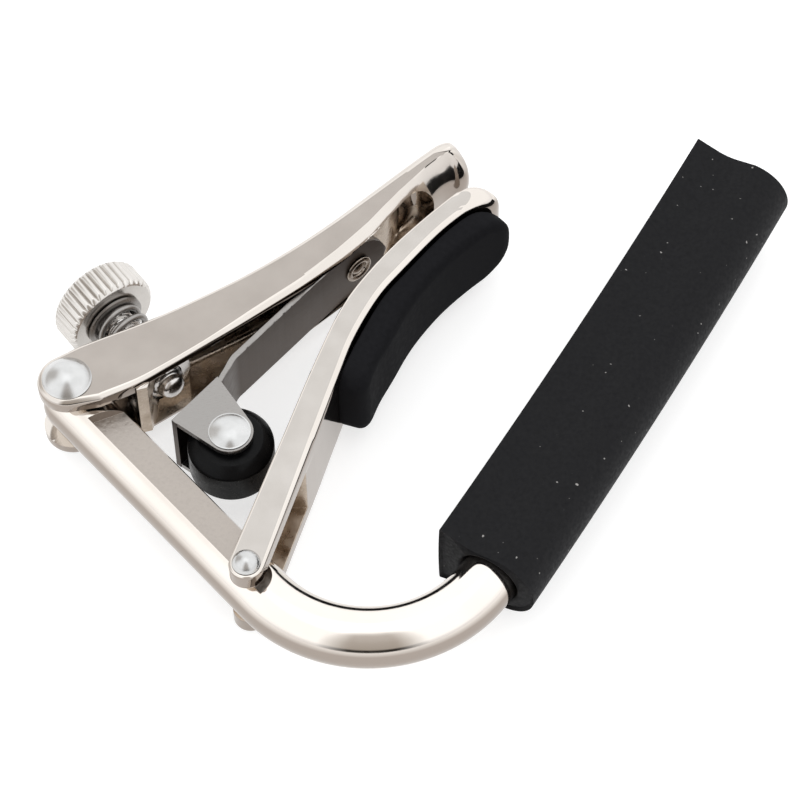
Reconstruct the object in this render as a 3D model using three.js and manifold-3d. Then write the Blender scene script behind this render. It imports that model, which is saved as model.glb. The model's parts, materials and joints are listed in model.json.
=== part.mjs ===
// Guitar capo of the rolling-lever kind, closed, lying on its side.
// Millimetres. Z runs along the pivot rivets; the capo's own plane is XY.
// A bent round bar carries the string sleeve. A forked arm with the neck pad turns on it at
// pivot B, and a channel-shaped lever turns on its end at pivot A. Inside the lever a stainless
// leaf carries a roller that presses on the back of the arm, and a thumbscrew sets its reach.

import * as THREE from 'three';
import { mergeVertices } from 'three/addons/utils/BufferGeometryUtils.js';
import Module from 'manifold-3d';

const wasm = await Module();
wasm.setup();

// ---------------------------------------------------------------- driving dimensions

const ROD_RADIUS = 3.175; // quarter-inch bar
const ROD_DIRECTION = -49.75; // degrees, straight member from pivot A towards the bend
const BEND_START = [-14.135, -23.283];
const BEND_RADIUS = 14.15;
const BEND_ANGLE = 107.1; // degrees
const BAR_LENGTH = 56; // string bar, from the end of the bend
const CAMBER_RADIUS = 980; // slight bow of the string bar

const PIVOT_A = [-34.48, 0.22]; // lever pivot, near the free end of the bar
const PIVOT_B = [-15.71, -22.54]; // arm pivot, just before the bend

const POCKET_FLOOR = 1.7; // height of the recess floor in the straight member
const POCKET_RIDGE = -1.05; // inner side of the ridge left standing along the recess
const POCKET_START = 27; // distance from the bend to the recess wall near pivot A
const POCKET_END_RADIUS = 2.5; // the recess ends in an arc round pivot B

const SLEEVE_LENGTH = 56.9;
const SLEEVE_FACE = 5.93; // string-pressing face, from the bar's axis
const SLEEVE_FACE_HALF = 4.77;
const SLEEVE_BACK_RADIUS = 4.24;
const SLEEVE_BACK_CENTRE = -1.09;
const SLEEVE_BORE = 3.42;
const BORE_BOTTOM = 0.3; // air left past the bar's end

const LEVER_HALF = 5.0; // half the width of the lever
const LEVER_WALL = 0.95;
const LEVER_NOSE_RADIUS = 3.15;
const SWING_GAP = 0.65; // air between the bar's end and the lever's web
const PIVOT_GAP = 3.4; // half the gap between walls that straddle the bar

const ARM_HALF = 5.5;
const ARM_FOOT_RADIUS = 1.8;

const PAD_HALF = 5.0;
const RIB_HALF = 2.0; // half the width of the rib on the pad's back
const RIB_PLAY = 0.15;
const SEAT_PLAY = 0.15;

const SCREW_DIRECTION = 126.5; // degrees, from the lever out towards the knob
const KNOB_FACE = [-30.3, 10.95]; // centre of the knob's inner face
const KNOB_RADIUS = 5.22;
const KNOB_LENGTH = 3.92;
const KNOB_RIDGES = 36;
const RIDGE_DEPTH = 0.32;
const KNOB_BORE = 3.3; // depth of the blind hole for the shaft
const SCREW_RADIUS = 1.85;
const SCREW_REACH = 11.7; // knob face to screw tip
const SCREW_SEAT = 3.0; // shaft inside the knob
const WEB_DISTANCE = 4.9; // knob face to the spring's seat on the lever
const BUSHING_RADIUS = 2.7;
const BUSHING_END = 9.7; // knob face to the inner end of the bushing
const BUSHING_FLANGE = 0.7; // thickness of its flange
const SPRING_RADIUS = 2.5;
const SPRING_WIRE = 0.7;
const SPRING_TURNS = 2.6;
const WASHER_THICKNESS = 0.4;
const WASHER_RADIUS = 3.3;
const WASHER_GAP = 0.1;

const ROLLER_CENTRE = [-17.58, -6.2];
const ROLLER_RADIUS = 4.52;
const ROLLER_HALF = 3.0;
const TUBE_RADIUS = 1.65; // bushing between axle and roller
const TUBE_HALF = 3.5;
const LEAF_THICKNESS = 0.65;
const CLEVIS_HALF = 4.3; // outer face of the clevis ears
const LEAF_HALF = 3.8; // leaf inside the lever's channel
const FLARE_START = 20.0; // from the leaf's rivet, where it widens into the clevis
const FLARE_END = 22.3;
const EAR_RADIUS = 2.45;

const RIVET_A = { shaft: 1.6, head: 2.6, height: 1.45 };
const RIVET_B = { shaft: 1.0, head: 1.45, height: 1.2 };
const AXLE = { shaft: 1.15, head: 2.2, height: 0.75 };
const HEAD_GAP = 0.05; // under the rivets' heads
const CLEARANCE = 0.08;

// ---------------------------------------------------------------- materials

const FINISHES = {
  nickel: { color: 0xcfc8be, roughness: 0.18, metalness: 1 },
  rivet: { color: 0xc4c3c2, roughness: 0.28, metalness: 1 },
  stainless: { color: 0xb4b0ab, roughness: 0.38, metalness: 1 },
  knob: { color: 0xb9b2a8, roughness: 0.35, metalness: 1 },
  rubber: { color: 0x17181a, roughness: 0.85, metalness: 0 },
  plastic: { color: 0x0d0d0e, roughness: 0.4, metalness: 0 },
};

// ---------------------------------------------------------------- geometry helpers

const radians = THREE.MathUtils.degToRad;

function direction(degrees) {
  return new THREE.Vector2(Math.cos(radians(degrees)), Math.sin(radians(degrees)));
}

function vec2(points) {
  return points.map(([x, y]) => new THREE.Vector2(x, y));
}

function toSolid(geometry) {
  const bare = geometry.clone();
  for (const name of Object.keys(bare.attributes)) {
    if (name !== 'position') bare.deleteAttribute(name);
  }
  const merged = mergeVertices(bare.index ? bare.toNonIndexed() : bare, 1e-4);
  const vertProperties = new Float32Array(merged.attributes.position.array);
  const triVerts = new Uint32Array(merged.index.array);
  return new wasm.Manifold(new wasm.Mesh({ numProp: 3, vertProperties, triVerts }));
}

function toGeometry(solid) {
  const result = solid.getMesh();
  const geometry = new THREE.BufferGeometry();
  geometry.setAttribute('position', new THREE.BufferAttribute(result.vertProperties, 3));
  geometry.setIndex(new THREE.BufferAttribute(result.triVerts, 1));
  geometry.computeVertexNormals();
  return geometry;
}

function slab(shape, zLow, zHigh, segments = 10) {
  const options = { depth: zHigh - zLow, bevelEnabled: false, curveSegments: segments };
  const geometry = new THREE.ExtrudeGeometry(shape, options);
  geometry.translate(0, 0, zLow);
  return toSolid(geometry);
}

function disc([x, y], radius, zLow, zHigh, segments = 32) {
  const geometry = new THREE.CylinderGeometry(radius, radius, zHigh - zLow, segments);
  geometry.rotateX(Math.PI / 2);
  geometry.translate(x, y, (zLow + zHigh) / 2);
  return toSolid(geometry);
}

// A turned body on the Z axis, from [radius, height] pairs.
function turned(profile, segments = 32) {
  const geometry = new THREE.LatheGeometry(vec2(profile), segments);
  geometry.rotateX(Math.PI / 2);
  return geometry;
}

function polygon(points) {
  return new THREE.Shape(vec2(points));
}

// Points of an arc, both ends included.
function arcPoints([x, y], radius, from, to, steps) {
  const points = [];
  for (let i = 0; i <= steps; i += 1) {
    const a = radians(from + ((to - from) * i) / steps);
    points.push([x + radius * Math.cos(a), y + radius * Math.sin(a)]);
  }
  return points;
}

// Points of a smooth curve through the given points.
function smooth(points, steps) {
  return new THREE.SplineCurve(vec2(points)).getPoints(steps).map((p) => [p.x, p.y]);
}

// The same polyline moved sideways by a distance, to the right of its travel.
function offsetLine(points, distance) {
  return points.map((point, i) => {
    const before = points[Math.max(i - 1, 0)];
    const after = points[Math.min(i + 1, points.length - 1)];
    const length = Math.hypot(after[0] - before[0], after[1] - before[1]);
    const side = [(after[1] - before[1]) / length, -(after[0] - before[0]) / length];
    return [point[0] + side[0] * distance, point[1] + side[1] * distance];
  });
}

// ---------------------------------------------------------------- the bent bar

const along = direction(ROD_DIRECTION);
const inward = new THREE.Vector2(-along.y, along.x);
const bendStart = new THREE.Vector2(...BEND_START);
const bendCentre = bendStart.clone().addScaledVector(inward, BEND_RADIUS);
const straightLength = bendStart.clone().sub(new THREE.Vector2(...PIVOT_A)).dot(along);

// A point beside the straight member: s back from the bend towards pivot A, v inward.
function beside(s, v) {
  const p = bendStart.clone().addScaledVector(along, -s).addScaledVector(inward, v);
  return [p.x, p.y];
}

// The bar's centre line: straight member, bend and slightly bowed string bar.
class BarPath extends THREE.Curve {
  constructor(from, to) {
    super();
    this.from = from;
    this.to = to;
  }

  getPoint(t, target = new THREE.Vector3()) {
    const s = this.from + (this.to - this.from) * t;
    const bendLength = radians(BEND_ANGLE) * BEND_RADIUS;
    if (s <= straightLength) {
      const p = bendStart.clone().addScaledVector(along, s - straightLength);
      return target.set(p.x, p.y, 0);
    }
    const turn = Math.min(s - straightLength, bendLength) / BEND_RADIUS;
    const heading = radians(ROD_DIRECTION) + turn;
    const x = bendCentre.x + BEND_RADIUS * Math.sin(heading);
    const y = bendCentre.y - BEND_RADIUS * Math.cos(heading);
    const run = Math.max(0, s - straightLength - bendLength);
    const bow = run / CAMBER_RADIUS / 2;
    return target.set(x + run * Math.cos(heading + bow), y + run * Math.sin(heading + bow), 0);
  }
}

const BEND_LENGTH = radians(BEND_ANGLE) * BEND_RADIUS;
const BAR_START = straightLength + BEND_LENGTH;

function swept(shape, path, steps, segments) {
  return toSolid(new THREE.ExtrudeGeometry(shape, { extrudePath: path, steps, curveSegments: segments }));
}

function circleShape(radius, sides = 24) {
  return polygon(arcPoints([0, 0], radius, 0, 360 - 360 / sides, sides - 1));
}

function frameRod() {
  const path = new BarPath(0, BAR_START + BAR_LENGTH);
  let rod = swept(circleShape(ROD_RADIUS), path, 48);
  const end = new THREE.SphereGeometry(ROD_RADIUS, 24, 12);
  end.rotateX(Math.PI / 2);
  const tip = beside(straightLength, 0);
  end.translate(tip[0], tip[1], 0);
  rod = rod.add(toSolid(end));
  const pocketEnd = arcPoints(PIVOT_B, POCKET_END_RADIUS, ROD_DIRECTION - 8, ROD_DIRECTION + 90, 8);
  const outline = polygon([
    beside(POCKET_START, POCKET_RIDGE),
    ...pocketEnd,
    beside(1.6, 5),
    beside(POCKET_START - 2, 5),
  ]);
  rod = rod.subtract(slab(outline, POCKET_FLOOR, 5));
  rod = rod.subtract(slab(outline, -5, -POCKET_FLOOR));
  rod = rod.subtract(disc(PIVOT_A, RIVET_A.shaft + CLEARANCE, -6, 6, 24));
  return rod.subtract(disc(PIVOT_B, RIVET_B.shaft + CLEARANCE, -6, 6, 20));
}

// The sleeve's section: x across the capo's thickness, y towards the arm.
function sleeveSection() {
  const shape = new THREE.Shape();
  const face = SLEEVE_FACE;
  const half = SLEEVE_FACE_HALF;
  const waist = [3.85, 1.6];
  shape.moveTo(-half, face - 0.3);
  shape.lineTo(-half + 0.3, face);
  shape.lineTo(half - 0.3, face);
  shape.lineTo(half, face - 0.3);
  shape.quadraticCurveTo(waist[0] - 0.1, 3.6, waist[0], waist[1]);
  shape.quadraticCurveTo(4.1, 0.2, SLEEVE_BACK_RADIUS, SLEEVE_BACK_CENTRE);
  shape.absarc(0, SLEEVE_BACK_CENTRE, SLEEVE_BACK_RADIUS, 0, -Math.PI, true);
  shape.quadraticCurveTo(-4.1, 0.2, -waist[0], waist[1]);
  shape.quadraticCurveTo(-waist[0] + 0.1, 3.6, -half, face - 0.3);
  const points = shape.getPoints(6);
  const distinct = points.filter((p, i) => p.distanceTo(points[(i + 1) % points.length]) > 0.01);
  return new THREE.Shape(distinct);
}

function stringSleeve() {
  const path = new BarPath(BAR_START, BAR_START + SLEEVE_LENGTH);
  const bore = new BarPath(BAR_START - 0.5, BAR_START + BAR_LENGTH + BORE_BOTTOM);
  return swept(sleeveSection(), path, 7).subtract(swept(circleShape(SLEEVE_BORE), bore, 7));
}

// ---------------------------------------------------------------- the arm and its pad

const ARM_HEADING = 70.9; // degrees, lower part of the arm
const ARM_BACK = [
  [-12.2, -7.9], [-8.8, 1.4], [-5.8, 8.5], [-2.3, 13.7], [0.8, 17.3], [4.4, 20.9], [6.8, 23.0],
  [8.6, 23.8],
];
const ARM_FACE = [
  [9.6, 21.5], [7.8, 20.6], [4.7, 17.8], [0.7, 13.1], [-1.9, 9.7], [-4.5, 4.7], [-6.3, -0.4],
  [-8.9, -8.3],
];

// The rib on the back of the pad that sits in a pocket of the arm's face.
function padRib(grow) {
  return polygon([
    [-3.6 - grow, 4.9 - grow],
    [-0.7, 9.2],
    [1.8, 12.4],
    [5.3 + grow, 16.2 - grow],
    [4.2 + grow, 18.3 + grow],
    [0.3, 14.2 + grow],
    [-2.6 - grow, 10.7 + grow],
    [-4.9 - grow, 6.5],
  ]);
}

function clampArm() {
  const foot = arcPoints(PIVOT_B, ARM_FOOT_RADIUS, ARM_HEADING - 90, ARM_HEADING - 270, 14);
  const head = arcPoints([9.3, 21.9], 2.05, 100, -15, 7);
  const outline = polygon([
    ...foot,
    ...smooth(ARM_BACK, 20),
    ...head,
    [10.6, 20.9],
    ...smooth(ARM_FACE, 20),
  ]);
  const up = direction(ARM_HEADING);
  const at = (s, v) => [PIVOT_B[0] + up.x * s + up.y * v, PIVOT_B[1] + up.y * s - up.x * v];
  const fork = polygon([
    at(-4, -4),
    at(-4, 5),
    at(13, 5),
    at(13, 1.9),
    at(12.2, -0.55),
    at(6.9, -0.55),
    at(8.8, -2.2),
    at(8.8, -4),
  ]);
  return slab(outline, -ARM_HALF, ARM_HALF)
    .subtract(slab(fork, -PIVOT_GAP, PIVOT_GAP))
    .subtract(slab(padRib(RIB_PLAY), -RIB_HALF - 0.2, RIB_HALF + 0.2))
    .subtract(disc(PIVOT_B, RIVET_B.shaft + CLEARANCE, -8, 8, 20));
}

const PAD_SEAT = [
  [9.9, 20.9], [8.0, 20.25], [4.95, 17.55], [0.95, 12.85], [-1.6, 9.5], [-4.15, 4.6], [-5.95, -0.4],
];
const PAD_CONTACT = [
  [-3.3, -1.1], [-2.2, 2.0], [-0.6, 5.1], [1.0, 8.3], [2.7, 11.0], [4.9, 13.8], [7.5, 16.4], [10.2, 18.7],
];

const PAD_STEPS = [
  { half: PAD_HALF, inset: 0.75 },
  { half: PAD_HALF - 0.25, inset: 0.3 },
  { half: PAD_HALF - 0.75, inset: 0 },
];

// The pad's outline with its free edges drawn in by a distance.
function padOutline(inset) {
  const nose = arcPoints([10.3, 20.7], 2.0 - inset, -50, 15, 5);
  const contact = offsetLine(smooth(PAD_CONTACT, 16), -inset);
  const seat = offsetLine(smooth(PAD_SEAT, 14), -SEAT_PLAY);
  return polygon([...seat, ...contact, ...nose]);
}

function neckPad() {
  let pad = slab(padRib(0), -RIB_HALF, RIB_HALF);
  for (const { half, inset } of PAD_STEPS) {
    pad = pad.add(slab(padOutline(inset), -half, half));
  }
  return pad;
}

// ---------------------------------------------------------------- the lever

const LEVER_BACK = [
  [-33.4, 4.4], [-31.4, 5.3], [-25.7, 7.8], [-19.7, 11.0], [-15.5, 13.5], [-11.2, 16.5], [-7.0, 19.9],
  [-2.7, 23.8], [1.7, 27.9], [3.9, 29.9],
];
const LEVER_EDGE = [
  [5.3, 25.9], [3.7, 23.9], [1.9, 21.8], [-1.9, 18.3], [-5.8, 14.9], [-9.6, 11.8], [-13.4, 9.0], [-17.1, 6.3],
  [-21.1, 3.5], [-23.9, 1.6], [-27.0, -0.4], [-31.0, -2.3],
];
const LEVER_TIP = { centre: [5.6, 28.6], radius: 2.5 };
const LEVER_FLOOR = [
  [-28.6, 5.2], [-25.1, 6.7], [-19.1, 9.9], [-14.8, 12.5], [-10.5, 15.5], [-6.2, 19.0], [-1.9, 22.9],
  [2.2, 26.6],
];

// The screw's own frame: Z outward along the screw, origin on the knob's inner face.
const screwFrame = new THREE.Group();
const outward = direction(SCREW_DIRECTION);
screwFrame.position.set(KNOB_FACE[0], KNOB_FACE[1], 0);
screwFrame.quaternion.setFromUnitVectors(
  new THREE.Vector3(0, 0, 1),
  new THREE.Vector3(outward.x, outward.y, 0),
);
screwFrame.updateMatrix();

// A turned cutter or boss on the screw's axis, placed in the capo's frame.
function onScrew(radius, zLow, zHigh, segments = 32) {
  const geometry = turned([[0, zLow], [radius, zLow], [radius, zHigh], [0, zHigh]], segments);
  return toSolid(geometry.applyMatrix4(screwFrame.matrix));
}

// A block cut to a plan seen at right angles to a line in the capo's plane:
// the plan's x runs along the heading, its y across the capo's thickness.
function planBlock(shape, [x, y], heading, depth) {
  const geometry = new THREE.ExtrudeGeometry(shape, { depth, bevelEnabled: false, curveSegments: 8 });
  geometry.translate(0, 0, -depth / 2);
  geometry.rotateX(Math.PI / 2);
  geometry.rotateZ(radians(heading));
  geometry.translate(x, y, 0);
  return toSolid(geometry);
}

function leverPlan() {
  const half = LEVER_HALF;
  const shape = new THREE.Shape();
  shape.moveTo(-60, -half);
  shape.lineTo(-5, -half);
  shape.bezierCurveTo(-1.5, -half, 2.4, -3.8, 2.4, 0);
  shape.bezierCurveTo(2.4, 3.8, -1.5, half, -5, half);
  shape.lineTo(-60, half);
  return shape;
}

function lever() {
  const nose = arcPoints(PIVOT_A, LEVER_NOSE_RADIUS, -75, -242, 12);
  const tip = arcPoints(LEVER_TIP.centre, LEVER_TIP.radius, 120, -55, 10);
  const outline = polygon([...nose, ...smooth(LEVER_BACK, 24), ...tip, ...smooth(LEVER_EDGE, 24)]);
  let body = slab(outline, -LEVER_HALF, LEVER_HALF);
  body = body.intersect(planBlock(leverPlan(), LEVER_TIP.centre, 42, 40));

  const floor = smooth(LEVER_FLOOR, 20);
  const wide = polygon([...floor, [4.2, 27.2], [9, 22], [-2, 9], [-20, -6], [-27.2, -6]]);
  const innerHalf = LEVER_HALF - LEVER_WALL;
  body = body.subtract(slab(wide, -innerHalf, innerHalf));
  const narrow = polygon([[-34.5, 3.6], [-31.2, 4.0], [-28.5, 5.2], [-26.5, 4], [-26.5, -7], [-37, -7]]);
  body = body.subtract(slab(narrow, -PIVOT_GAP, PIVOT_GAP));
  body = body.subtract(disc(PIVOT_A, LEVER_NOSE_RADIUS + SWING_GAP, -PIVOT_GAP, PIVOT_GAP, 40));

  // Land that the leaf is riveted to.
  const land = polygon([
    [-9.6, 16.6], [-8.3, 14.75], [-6.6, 16.2], [-4.8, 17.6], [-1.35, 20.55], [0.3, 25.2], [-2.0, 24.0],
  ]);
  body = body.add(slab(land, -innerHalf - 0.1, innerHalf + 0.1));

  // Boss for the screw bushing, and the spring's seat.
  const inside = -BUSHING_END + 0.9;
  body = body.add(onScrew(BUSHING_RADIUS + 0.95, inside, -WEB_DISTANCE - 0.3));
  body = body.subtract(onScrew(SPRING_RADIUS + 0.9, -WEB_DISTANCE, -2));
  body = body.subtract(onScrew(BUSHING_RADIUS + CLEARANCE, -BUSHING_END, -2));
  body = body.subtract(disc(PIVOT_A, RIVET_A.shaft + CLEARANCE, -8, 8, 24));
  return body.subtract(leafRivetBore());
}

// ---------------------------------------------------------------- roller bracket

const LEAF_FACE = [
  [-18.35, 0.2], [-17.3, 2.65], [-16.4, 3.85], [-11.2, 9.6], [-8.3, 12.8], [-4.3, 16.95], [-0.9, 19.85],
];
const PLATE_LOW = [-23.1, -5.1]; // lower end of the clevis plate, on the roller's side
const PLATE_CORNERS = [[-23.6, -4.65], [-18.9, 0.6]]; // of its other side, where the ears fold
const LEAF_RIVET = { centre: [-4.05, 16.75], heading: 40.5, radius: 0.9, head: 1.3, seat: -0.15 };

// Frame of the leaf's rivet: Z out of the leaf's face, towards the arm.
const leafRivetFrame = new THREE.Group();
leafRivetFrame.position.set(LEAF_RIVET.centre[0], LEAF_RIVET.centre[1], 0);
leafRivetFrame.quaternion.setFromUnitVectors(
  new THREE.Vector3(0, 0, 1),
  new THREE.Vector3(Math.sin(radians(LEAF_RIVET.heading)), -Math.cos(radians(LEAF_RIVET.heading)), 0),
);
leafRivetFrame.updateMatrix();

function leafRivetBore() {
  const r = LEAF_RIVET.radius + CLEARANCE;
  const geometry = turned([[0, -3], [r, -3], [r, 1], [0, 1]], 20);
  return toSolid(geometry.applyMatrix4(leafRivetFrame.matrix));
}

function rollerBracket() {
  const t = LEAF_THICKNESS;
  const face = [PLATE_LOW, ...LEAF_FACE];
  const strip = polygon([...face, ...offsetLine(face, -t).reverse()]);
  const plan = new THREE.Shape();
  plan.moveTo(-40, -CLEVIS_HALF);
  plan.lineTo(-FLARE_END, -CLEVIS_HALF);
  plan.lineTo(-FLARE_START, -LEAF_HALF);
  plan.lineTo(0, -LEAF_HALF);
  plan.absarc(0, 0, LEAF_HALF, -Math.PI / 2, Math.PI / 2, false);
  plan.lineTo(-FLARE_START, LEAF_HALF);
  plan.lineTo(-FLARE_END, CLEVIS_HALF);
  plan.lineTo(-40, CLEVIS_HALF);
  let bracket = slab(strip, -CLEVIS_HALF, CLEVIS_HALF);
  bracket = bracket.intersect(planBlock(plan, LEAF_RIVET.centre, LEAF_RIVET.heading, 30));
  const ear = polygon([...PLATE_CORNERS, ...arcPoints(ROLLER_CENTRE, EAR_RADIUS, 32, -128, 12)]);
  bracket = bracket.add(slab(ear, CLEVIS_HALF - t, CLEVIS_HALF));
  bracket = bracket.add(slab(ear, -CLEVIS_HALF, -CLEVIS_HALF + t));
  bracket = bracket.subtract(disc(ROLLER_CENTRE, AXLE.shaft + CLEARANCE, -6, 6, 20));
  return bracket.subtract(leafRivetBore());
}

// Upper half of a headed pin as [radius, height] pairs, from the shaft's edge to the axis.
function domedHead(shaft, head, seat, height, steps) {
  const points = [[shaft, seat], [head, seat]];
  const sphere = (head * head + height * height) / (2 * height);
  const span = Math.asin(head / sphere);
  const full = height > head ? Math.PI - span : span;
  for (let i = 1; i <= steps; i += 1) {
    const a = full * (1 - i / steps);
    points.push([i === steps ? 0 : sphere * Math.sin(a), seat + height - sphere * (1 - Math.cos(a))]);
  }
  return points;
}

function doubleDomedPin({ shaft, head, height }, seat, segments) {
  const upper = domedHead(shaft, head, seat, height, 4);
  const lower = upper.map(([r, z]) => [r, -z]).reverse();
  return turned([...lower, ...upper], segments);
}

function roller() {
  const h = ROLLER_HALF;
  const bore = TUBE_RADIUS + CLEARANCE;
  return turned([
    [bore, -h],
    [3.5, -h],
    [ROLLER_RADIUS, -1.94],
    [ROLLER_RADIUS, 1.94],
    [3.5, h],
    [bore, h],
    [bore, -h],
  ], 40);
}

function tube(inner, outer, zLow, zHigh, segments = 28) {
  return turned([[inner, zLow], [outer, zLow], [outer, zHigh], [inner, zHigh], [inner, zLow]], segments);
}

function rollerBushing() {
  return tube(AXLE.shaft + CLEARANCE, TUBE_RADIUS, -TUBE_HALF, TUBE_HALF);
}

// A hollow rivet: its head is a rolled rim round a dimple.
function leafRivet() {
  const { radius, head, seat } = LEAF_RIVET;
  return turned([
    [0, -2.8],
    [radius, -2.8],
    [radius, seat],
    [head, seat],
    [head * 0.95, seat + 0.3],
    [0.85, seat + 0.4],
    [0.5, seat + 0.1],
    [0, seat + 0.05],
  ], 24);
}

// ---------------------------------------------------------------- the adjusting screw

function knob() {
  const shape = new THREE.Shape();
  const steps = KNOB_RIDGES * 2;
  for (let i = 0; i < steps; i += 1) {
    const radius = i % 2 === 0 ? KNOB_RADIUS : KNOB_RADIUS - RIDGE_DEPTH;
    const a = (2 * Math.PI * i) / steps;
    const x = radius * Math.cos(a);
    const y = radius * Math.sin(a);
    if (i === 0) shape.moveTo(x, y);
    else shape.lineTo(x, y);
  }
  const ridged = new THREE.ExtrudeGeometry(shape, { depth: KNOB_LENGTH, bevelEnabled: false });
  const r = KNOB_RADIUS + 0.01;
  const chamfer = turned([
    [0, 0],
    [r - 0.5, 0],
    [r, 0.55],
    [r, KNOB_LENGTH - 0.55],
    [r - 0.5, KNOB_LENGTH],
    [0, KNOB_LENGTH],
  ], 72);
  const inner = SCREW_RADIUS + CLEARANCE;
  const bore = turned([[0, -1], [inner, -1], [inner, KNOB_BORE], [0, KNOB_BORE]], 24);
  return toSolid(ridged).intersect(toSolid(chamfer)).subtract(toSolid(bore));
}

function screwShaft() {
  const r = SCREW_RADIUS;
  const z = -SCREW_REACH;
  return turned([
    [0, z],
    [0.75, z + 0.15],
    [1.3, z + 0.55],
    [1.55, z + 1.0],
    [r, z + 1.25],
    [r, SCREW_SEAT],
    [0, SCREW_SEAT],
  ], 28);
}

class Helix extends THREE.Curve {
  constructor(radius, zStart, zEnd, turns) {
    super();
    Object.assign(this, { radius, zStart, zEnd, turns });
  }

  getPoint(t, target = new THREE.Vector3()) {
    const a = 2 * Math.PI * this.turns * t;
    const z = this.zStart + (this.zEnd - this.zStart) * t;
    return target.set(this.radius * Math.cos(a), this.radius * Math.sin(a), z);
  }
}

function screwSpring() {
  const half = SPRING_WIRE / 2;
  const top = -WASHER_THICKNESS - 2 * WASHER_GAP - half;
  const foot = -WEB_DISTANCE + WASHER_GAP + half;
  const helix = new Helix(SPRING_RADIUS, foot, top, SPRING_TURNS);
  return new THREE.ExtrudeGeometry(circleShape(half, 8), { extrudePath: helix, steps: 48 });
}

// Threaded insert pressed into the lever's boss from inside.
function bushing() {
  const bore = SCREW_RADIUS + CLEARANCE;
  const outer = BUSHING_RADIUS;
  const flange = -BUSHING_END + BUSHING_FLANGE;
  const top = -WEB_DISTANCE - 0.1;
  return turned([
    [bore, -BUSHING_END],
    [outer + 0.4, -BUSHING_END],
    [outer + 0.6, flange - 0.2],
    [outer + 0.6, flange],
    [outer, flange],
    [outer, top],
    [bore, top],
    [bore, -BUSHING_END],
  ], 28);
}

function springWasher() {
  const low = -WASHER_THICKNESS - WASHER_GAP;
  return tube(SCREW_RADIUS + CLEARANCE, WASHER_RADIUS, low, -WASHER_GAP);
}

// ---------------------------------------------------------------- assembly

function part(name, finish, shape, parent) {
  const geometry = shape.isBufferGeometry ? shape : toGeometry(shape);
  const mesh = new THREE.Mesh(geometry, new THREE.MeshStandardMaterial(FINISHES[finish]));
  mesh.name = name;
  parent.add(mesh);
  return mesh;
}

const capo = new THREE.Group();
const frame = new THREE.Group();
const arm = new THREE.Group();
const leverGroup = new THREE.Group();
const rollerGroup = new THREE.Group();
capo.add(frame, arm, leverGroup);
leverGroup.add(rollerGroup, screwFrame, leafRivetFrame);
rollerGroup.position.set(ROLLER_CENTRE[0], ROLLER_CENTRE[1], 0);

part('frame_rod', 'nickel', frameRod(), frame);
part('string_sleeve', 'rubber', stringSleeve(), frame);
const leverPin = doubleDomedPin(RIVET_A, LEVER_HALF + HEAD_GAP, 32);
const armPin = doubleDomedPin(RIVET_B, ARM_HALF + HEAD_GAP, 24);
part('lever_pivot_rivet', 'rivet', leverPin, frame).position.set(PIVOT_A[0], PIVOT_A[1], 0);
part('arm_pivot_rivet', 'rivet', armPin, frame).position.set(PIVOT_B[0], PIVOT_B[1], 0);

part('clamp_arm', 'nickel', clampArm(), arm);
part('neck_pad', 'rubber', neckPad(), arm);

part('lever', 'nickel', lever(), leverGroup);
part('leaf_rivet', 'rivet', leafRivet(), leafRivetFrame);
part('roller_bracket', 'stainless', rollerBracket(), leverGroup);
part('roller_axle', 'rivet', doubleDomedPin(AXLE, CLEVIS_HALF + HEAD_GAP, 28), rollerGroup);
part('roller_bushing', 'rivet', rollerBushing(), rollerGroup);
part('roller', 'plastic', roller(), rollerGroup);

part('screw_bushing', 'rivet', bushing(), screwFrame);
part('spring_washer', 'stainless', springWasher(), screwFrame);
part('screw_spring', 'stainless', screwSpring(), screwFrame);
part('thumbscrew_shaft', 'rivet', screwShaft(), screwFrame);
part('thumbscrew_knob', 'knob', knob(), screwFrame);

// The origin is the middle of the whole capo.
const middle = new THREE.Box3().setFromObject(capo, true).getCenter(new THREE.Vector3());
for (const group of [frame, arm, leverGroup]) group.position.set(-middle.x, -middle.y, 0);

export default capo;
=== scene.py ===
import json
import math

import bmesh
import bpy
import numpy as np
from mathutils import Matrix, Vector


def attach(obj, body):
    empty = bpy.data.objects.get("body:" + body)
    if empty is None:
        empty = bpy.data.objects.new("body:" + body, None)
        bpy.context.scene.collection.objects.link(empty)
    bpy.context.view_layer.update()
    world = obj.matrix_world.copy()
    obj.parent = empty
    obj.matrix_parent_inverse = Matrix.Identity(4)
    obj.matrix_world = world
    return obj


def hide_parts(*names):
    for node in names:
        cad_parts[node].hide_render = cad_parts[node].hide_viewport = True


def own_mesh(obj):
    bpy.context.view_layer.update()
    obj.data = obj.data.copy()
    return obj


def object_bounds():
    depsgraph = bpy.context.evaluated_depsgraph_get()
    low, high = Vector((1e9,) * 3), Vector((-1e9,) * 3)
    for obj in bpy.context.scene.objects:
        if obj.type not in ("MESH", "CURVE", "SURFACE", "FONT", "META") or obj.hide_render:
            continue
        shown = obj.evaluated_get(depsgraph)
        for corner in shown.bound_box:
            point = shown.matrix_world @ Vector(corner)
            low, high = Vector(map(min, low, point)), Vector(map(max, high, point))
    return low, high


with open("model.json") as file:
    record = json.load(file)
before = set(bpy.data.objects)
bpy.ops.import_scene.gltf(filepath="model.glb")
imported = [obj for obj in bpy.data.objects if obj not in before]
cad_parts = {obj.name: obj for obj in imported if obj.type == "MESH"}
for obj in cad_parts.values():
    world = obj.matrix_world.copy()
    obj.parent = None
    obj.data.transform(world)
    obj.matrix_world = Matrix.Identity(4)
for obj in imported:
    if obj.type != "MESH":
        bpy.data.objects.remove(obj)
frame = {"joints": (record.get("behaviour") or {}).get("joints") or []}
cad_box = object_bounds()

MM = 0.001
joints = {j["name"]: j for j in frame["joints"]}

# ---------------------------------------------------------------- dimensions, in millimetres

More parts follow.
